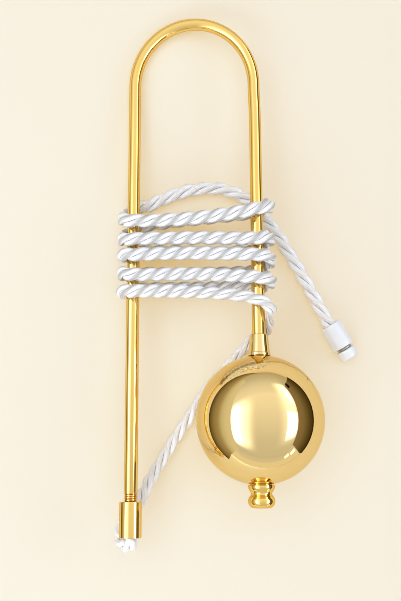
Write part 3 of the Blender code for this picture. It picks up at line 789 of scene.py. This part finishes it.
def strand_section():
    """Angles and radii round three strands, which press on each other in deep grooves."""
    # where a strand's ellipse meets the line between it and the next, at 60 degrees:
    # ((x - offset) / deep)^2 + (x tan 60 / wide)^2 = 1, a quadratic in x
    a = 1.0 / STRAND_DEEP ** 2 + 3.0 / STRAND_WIDE ** 2
    b = -2.0 * STRAND_OFFSET / STRAND_DEEP ** 2
    c = STRAND_OFFSET ** 2 / STRAND_DEEP ** 2 - 1.0
    groove = (-b + math.sqrt(b * b - 4 * a * c)) / (2 * a)
    widest = math.acos((groove - STRAND_OFFSET) / STRAND_DEEP)
    turns = np.linspace(-widest, widest, STRAND_SIDES, endpoint=False)
    x = STRAND_OFFSET + STRAND_DEEP * np.cos(turns)
    y = STRAND_WIDE * np.sin(turns)
    angles = np.concatenate([np.arctan2(y, x) + k * 2 * math.pi / STRANDS for k in range(STRANDS)])
    return angles, np.tile(np.hypot(x, y), STRANDS)


def steady_normals(directions):
    """A normal at each station, carried along the cord without a twist of its own."""
    normals = np.empty_like(directions)
    normal = np.array((0.0, 0.0, 1.0))
    for i, direction in enumerate(directions):
        normal = normal - normal.dot(direction) * direction
        normal /= np.linalg.norm(normal)
        normals[i] = normal
    return normals


def make_cord(material):
    """The cord as one mesh, and its centre line."""
    step = CORD_LAY / STEPS_PER_LAY
    centres = even_stations(smooth_curve(cord_route()), step)
    count = len(centres)
    directions = np.gradient(centres, axis=0)
    directions /= np.linalg.norm(directions, axis=1)[:, None]
    normals = steady_normals(directions)
    binormals = np.cross(directions, normals)
    distance = np.arange(count) * step
    tight = tightness(distance[-1] - distance)
    lay = (1.0 + LAY_CHANGE * (0.5 - distance / distance[-1])) * (1.0 + tight * (TIGHT_LAY - 1.0))
    turning = -2 * math.pi / STEPS_PER_LAY / lay
    twist = np.concatenate([[0.0], np.cumsum(turning[:-1])])
    # the cord is about 1% thicker and thinner in turn, in two waves of 15 and 36 mm
    uneven = 0.012 * np.sin(distance * 410.0) + 0.010 * np.sin(distance * 173.0 + 1.3)
    section = (1.0 + tight * (TIGHT_SECTION - 1.0)) * (1.0 + uneven)
    angles, radii = strand_section()
    spin = angles[None, :] + twist[:, None]
    offsets = (section[:, None] * radii[None, :])[:, :, None] * (
        np.cos(spin)[:, :, None] * normals[:, None, :] + np.sin(spin)[:, :, None] * binormals[:, None, :])
    points = squeeze(centres, offsets).reshape(-1, 3)
    faces = grid_faces(count, CORD_SIDES) + end_faces(count, CORD_SIDES)
    rope = add_mesh("tie_rope", points, outward(points, faces), material, ["tie_cord"],
                    sharp=60.0)
    add_fibre_map(rope, distance)
    return rope, centres


def add_fibre_map(rope, distance):
    """A map: u along the cord in metres, v round it in strands, each from seam to seam."""
    layer = rope.data.uv_layers.new(name="fibre")
    loops = len(rope.data.loops)
    index = np.empty(loops, dtype=np.int64)
    rope.data.loops.foreach_get("vertex_index", index)
    rows = index // CORD_SIDES
    sides = (index % CORD_SIDES).astype(float)
    # the last face of each row ends on the row's first point, which counts as the row's end there
    quads = loops // 4 * 4
    corners = sides[:quads].reshape(-1, 4)
    wraps = (corners.max(axis=1) - corners.min(axis=1)) > CORD_SIDES / 2
    corners[wraps] = np.where(corners[wraps] == 0, CORD_SIDES, corners[wraps])
    sides[:quads] = corners.reshape(-1)
    uv = np.stack([distance[np.minimum(rows, len(distance) - 1)], sides / STRAND_SIDES], axis=1)
    layer.data.foreach_set("uv", uv.astype(np.float32).reshape(-1))


# ---------------------------------------------------------------- cap

def make_cap(plastic, steel):
    """The sleeve on the cord's loose end, its neck with the pin inside, and its button."""
    pin_bore = CAP_PIN_RADIUS + GAP
    pin_start = -CAP_BORE_DEPTH - GAP
    neck_start = -CAP_LENGTH - GAP
    neck_end = neck_start - NECK_LENGTH
    button_start = neck_end - GAP
    button_end = button_start - BUTTON_LENGTH
    pin_end = button_start - PIN_DEPTH * BUTTON_LENGTH
    sleeve = rounded([
        (CORD_BORE_RADIUS, 0.0, 0.3 * MM), (CAP_RADIUS, 0.0, 0.8 * MM), (CAP_RADIUS, -CAP_LENGTH, 0.7 * MM),
        (pin_bore, -CAP_LENGTH, 0.0), (pin_bore, -CAP_BORE_DEPTH, 0.0),
        (CORD_BORE_RADIUS, -CAP_BORE_DEPTH, 0.0),
    ])
    neck = rounded([
        (AXIS_RADIUS, pin_start, 0.0), (CAP_PIN_RADIUS, pin_start, 0.0),
        (CAP_PIN_RADIUS, neck_start, 0.0), (NECK_RADIUS, neck_start, 0.15 * MM),
        (NECK_RADIUS, neck_end, 0.15 * MM), (CAP_PIN_RADIUS, neck_end, 0.0),
        (CAP_PIN_RADIUS, pin_end, 0.0), (AXIS_RADIUS, pin_end, 0.0),
    ])
    button = rounded([
        (AXIS_RADIUS, pin_end - GAP, 0.0), (pin_bore, pin_end - GAP, 0.0), (pin_bore, button_start, 0.0),
        (BUTTON_RADIUS, button_start, 0.6 * MM), (BUTTON_RADIUS, button_end, 1.6 * MM),
        (AXIS_RADIUS, button_end, 0.0),
    ])
    pieces = []
    for name, outline, closed, material, slot, node in (
        ("cap_sleeve", sleeve, True, plastic, "white_plastic", "cord_cap"),
        ("cap_collar", neck, False, steel, "grey_metal", "cap_neck"),
        ("cap_end", button, False, plastic, "white_plastic", "cap_button"),
    ):
        pieces.append(turned(name, outline, CAP, material, [node], closed, sides=CAP_SIDES))
    rest_on_surface(pieces[0])
    return pieces


# ---------------------------------------------------------------- studio

def stage_mesh(name, corners, material, faces=None):
    """A part of the studio: one face through all its corners, unless its faces are given."""
    mesh = bpy.data.meshes.new(name)
    mesh.from_pydata(corners, [], faces or [tuple(range(len(corners)))])
    mesh.materials.append(material)
    thing = bpy.data.objects.new(name, mesh)
    bpy.context.collection.objects.link(thing)
    return thing


def graded(name, axis, stops):
    """A glow whose colour runs through stops of (place along an axis, colour)."""
    nodes = Nodes(name)
    emission = nodes.make("ShaderNodeEmission")
    nodes.link(nodes.graded(nodes.place()[axis], stops), emission.inputs["Color"])
    nodes.link(emission.outputs["Emission"], nodes.out.inputs["Surface"])
    return nodes.material


def mirrored_only(thing):
    """Seen in reflections alone: it lights and shades nothing else."""
    thing.visible_camera = False
    thing.visible_diffuse = False
    thing.visible_transmission = False
    thing.visible_shadow = False


def panel_material():
    """The overhead diffuser: brightest beyond the arch, with patches of daylight at its sides."""
    nodes = Nodes("diffuser")
    place = nodes.place()

    def patch(strength, *edges):
        """Light that fades in or out, between two places on an axis, at each of its edges."""
        share = None
        for axis, outside, inside in edges:
            edge = nodes.range(place[axis], outside, inside, 0.0, 1.0, smooth=True)
            share = edge if share is None else nodes.math("MULTIPLY", share, edge)
        return nodes.math("MULTIPLY", share, strength)

    base = nodes.graded(place["Y"], [(at, (value,) * 3) for at, value in PANEL_STOPS], PANEL_STRENGTH)
    shader = nodes.make("ShaderNodeEmission")
    shader.inputs["Strength"].default_value = PANEL_STRENGTH
    nodes.link(base, shader.inputs["Color"])
    day = nodes.make("ShaderNodeEmission")
    day.inputs["Color"].default_value = (*DAYLIGHT, 1.0)
    total = patch(*PATCHES[0])
    for one in PATCHES[1:]:
        total = nodes.math("ADD", total, patch(*one))
    for edge, inside in ((LEFT, LEFT + LEFT_FADE), (RIGHT, RIGHT - RIGHT_FADE)):
        total = nodes.math("MULTIPLY", total, nodes.range(place["X"], edge, inside, 0.0, 1.0))
    nodes.link(total, day.inputs["Strength"])
    both = nodes.make("ShaderNodeAddShader")
    nodes.link(shader.outputs["Emission"], both.inputs[0])
    nodes.link(day.outputs["Emission"], both.inputs[1])
    nodes.link(both.outputs["Shader"], nodes.out.inputs["Surface"])
    return nodes.material


def floor_material():
    """A pale board. Its warm glow stands for the light that spreads inside such a board."""
    nodes = Nodes("pale_floor")
    shader = nodes.shader
    place = nodes.make("ShaderNodeTexCoord").outputs["Object"]
    lighter = [1.02 * value for value in FLOOR_COLOUR]
    nodes.link(nodes.mottled(place, 8.0, FLOOR_COLOUR, lighter), shader.inputs["Base Color"])
    shader.inputs["Roughness"].default_value = 0.9
    shader.inputs["Specular IOR Level"].default_value = 0.1
    shader.inputs["Emission Color"].default_value = (*FLOOR_GLOW, 1.0)
    shader.inputs["Emission Strength"].default_value = 1.0
    return nodes.material


def even_glow(name, brightness, colour=(1.0, 1.0, 1.0)):
    """A glow of one colour all over."""
    nodes = Nodes(name)
    emission = nodes.make("ShaderNodeEmission")
    emission.inputs["Color"].default_value = (*colour, 1.0)
    emission.inputs["Strength"].default_value = brightness
    nodes.link(emission.outputs["Emission"], nodes.out.inputs["Surface"])
    return nodes.material


def soft_light(name, inner, outer, start, end, brightness):
    """An even light for the floor and the cord, which the brass doesn't mirror."""
    count = LIGHT_STEPS + 1
    turns = [math.radians(start + (end - start) * k / LIGHT_STEPS) for k in range(count)]
    corners = [(outer * math.cos(turn), outer * math.sin(turn), PANEL_HEIGHT) for turn in turns]
    corners += [(inner * math.cos(turn), inner * math.sin(turn), PANEL_HEIGHT) for turn in turns]
    faces = [(k, k + 1, count + k + 1, count + k) for k in range(LIGHT_STEPS)]
    light = stage_mesh(name, corners, even_glow(name, brightness), faces)
    light.visible_camera = False
    light.visible_glossy = False
    light.visible_shadow = False


def level(name, plan, height, material):
    """A flat part of the studio, with its corners given on the floor plan."""
    return stage_mesh(name, [(x, y, height) for x, y in plan], material)


def upright(name, start, end, low, high, material):
    """A card that stands between two points of the floor plan."""
    return stage_mesh(name, [(*start, low), (*end, low), (*end, high), (*start, high)], material)


def make_backdrop():
    """What the camera sees behind the object from the side. It lights nothing and isn't mirrored."""
    angles = np.linspace(0, 2 * math.pi, BACKDROP_SIDES, endpoint=False)
    rim = [(BACKDROP_RADIUS * math.cos(angle), BACKDROP_RADIUS * math.sin(angle)) for angle in angles]
    corners = [(x, y, height) for height in (0.0, BACKDROP_HEIGHT) for x, y in rim]
    glow = even_glow("backdrop", 1.0, CREAM)
    backdrop = stage_mesh("backdrop", corners, glow, grid_faces(2, BACKDROP_SIDES))
    backdrop.visible_glossy = False
    backdrop.visible_diffuse = False
    backdrop.visible_shadow = False


def make_studio():
    """The diffuser, the soft lights, the floor with its strips, the walls and their cards."""
    ceiling = [(LEFT, NEAR), (LEFT, FAR), (RIGHT, FAR), (RIGHT, NEAR)]
    mirrored_only(level("diffuser", ceiling, PANEL_HEIGHT, panel_material()))
    for light in SOFT_LIGHTS:
        soft_light(*light)
    reach = FLOOR_REACH
    floor = [(-reach, -reach), (reach, -reach), (reach, reach), (-reach, reach)]
    level("floor", floor, 0.0, floor_material())
    for name, plan, stops in (
        ("left_strip", LEFT_STRIP, LEFT_STRIP_STOPS), ("right_strip", RIGHT_STRIP, RIGHT_STRIP_STOPS),
    ):
        mirrored_only(level(name, plan, STRIP_LIFT, graded(name, "X", stops)))
    for name, start, end, stops in WALLS:
        mirrored_only(upright(name, start, end, 0.0, PANEL_HEIGHT, graded(name, "Z", stops)))
    in_front = RIGHT - CARD_OFFSET
    for card in CARDS:
        glow = even_glow(card.name, card.brightness)
        mirrored_only(upright(
            card.name, (in_front, card.start), (in_front, card.end), card.low, card.high, glow))
    make_backdrop()
    world = bpy.data.worlds.new("studio")
    world.use_nodes = True
    background = world.node_tree.nodes["Background"]
    background.inputs["Color"].default_value = (*WORLD, 1.0)
    background.inputs["Strength"].default_value = 1.0
    bpy.context.scene.world = world


def make_camera():
    """The photograph's view."""
    data = bpy.data.cameras.new("camera")
    data.sensor_width = SENSOR
    data.lens = FOCAL_PIXELS * SENSOR / FRAME_HEIGHT
    data.clip_start = CLIP_NEAR
    data.clip_end = CLIP_FAR
    camera = bpy.data.objects.new("camera", data)
    bpy.context.collection.objects.link(camera)
    right = CAMERA_RIGHT.normalized()
    up = (CAMERA_UP - CAMERA_UP.dot(right) * right).normalized()
    turn = Matrix((right, up, right.cross(up))).transposed().to_4x4()
    camera.matrix_world = Matrix.Translation(CAMERA_PLACE) @ turn
    bpy.context.scene.camera = camera


def main():
    """The object, piece by piece, then what surrounds it."""
    make_camera()
    brass = brass_material("polished_brass", *PALE_BRASS)
    bar_brass = brass_material("deep_brass", *DEEP_BRASS)
    cord = cord_material()
    plastic = plastic_material()
    steel = steel_material()
    rope, centres = make_cord(cord)
    cap_pieces = make_cap(plastic, steel)
    make_bar(bar_brass)
    make_ferrule(bar_brass)
    make_collar(brass)
    make_ball(brass)
    make_finial(bar_brass)
    make_studio()
    bpy.context.scene.view_settings.view_transform = "Standard"
    bpy.context.scene.cycles.filter_width = 0.9


main()
